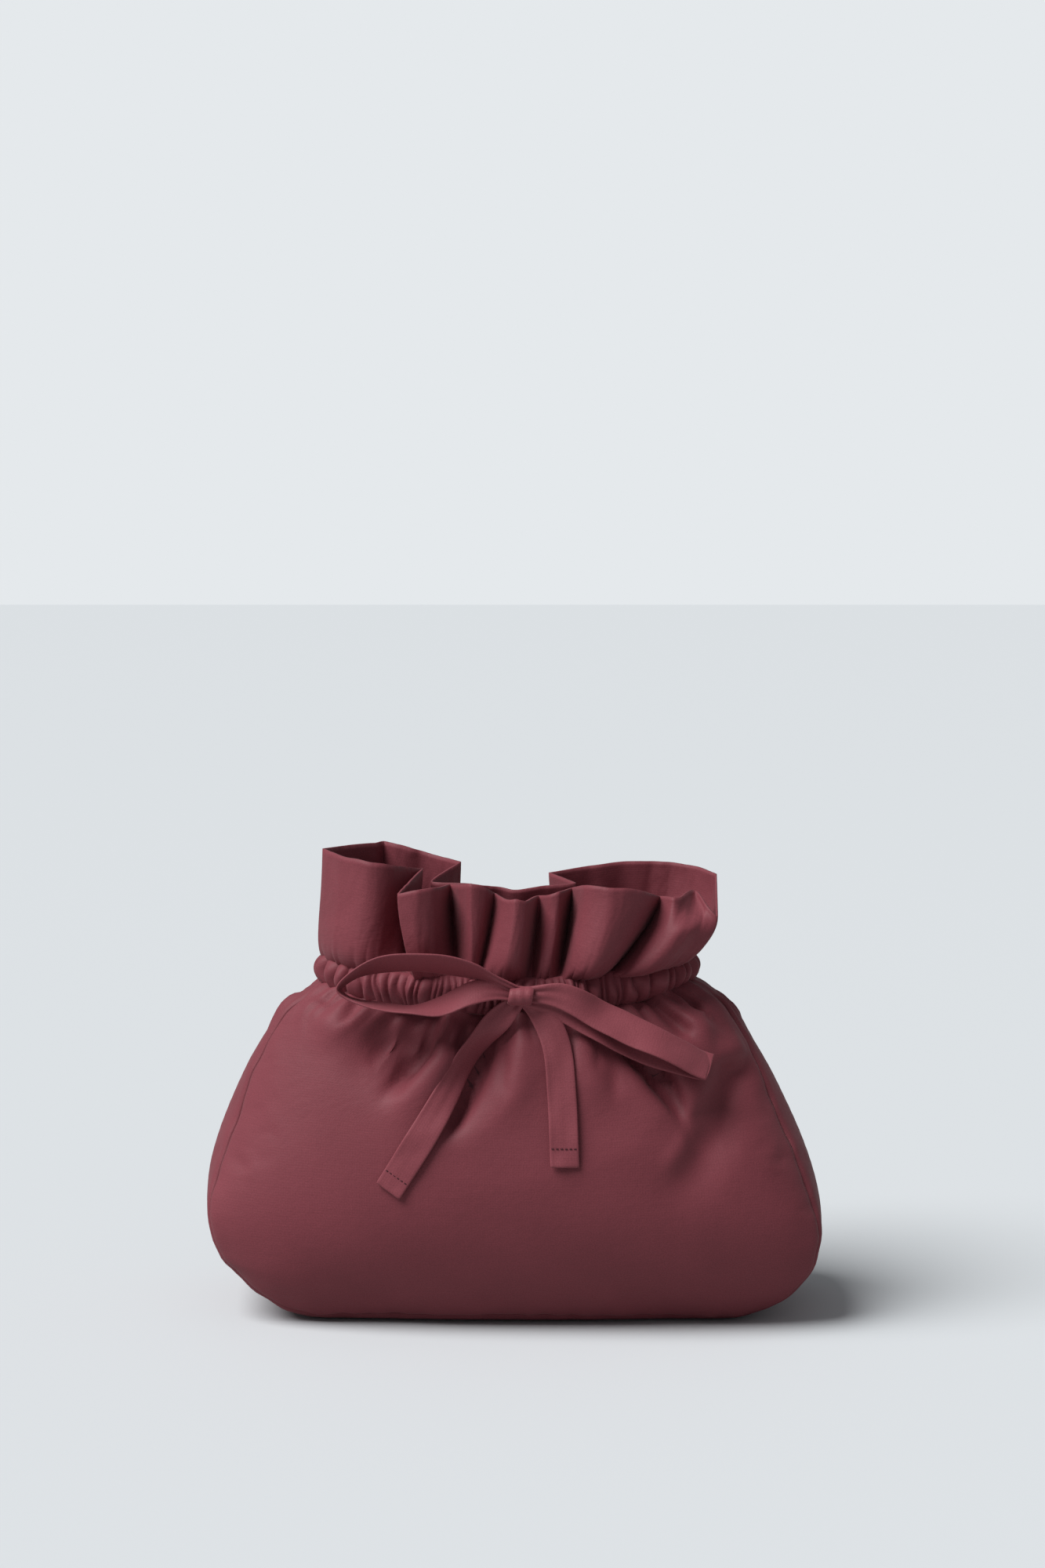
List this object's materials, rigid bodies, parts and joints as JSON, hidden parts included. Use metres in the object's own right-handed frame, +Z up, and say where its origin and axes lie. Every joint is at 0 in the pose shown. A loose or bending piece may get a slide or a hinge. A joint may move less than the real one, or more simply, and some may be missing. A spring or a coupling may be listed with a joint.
{
  "type": "gathered cosmetic pouch",
  "caption": "Soft padded pouch with a rounded body, a ruched elastic neck, a standing frill and a ribbon tied in a bow, for holding cosmetics.",
  "frame": {"origin": "middle of the flat base, on the surface the pouch stands on", "axes": "+X to the right seen from the front, the front faces -Y, +Z up"},
  "size_m": [0.24, 0.1094, 0.1811],
  "materials": {
    "satin": "soft satin sheen",
    "lining": "matte",
    "elastic": "matte knitted"
  },
  "bodies": {
    "root": {"front_panel": "satin", "back_panel": "satin", "gusset": "satin", "lining_front": "lining", "lining_back": "lining", "lining_gusset": "lining", "neck_casing": "satin", "neck_elastic": "elastic", "front_frill": "satin", "back_frill": "satin", "tie_ribbon": "satin"}
  },
  "joints": []
}
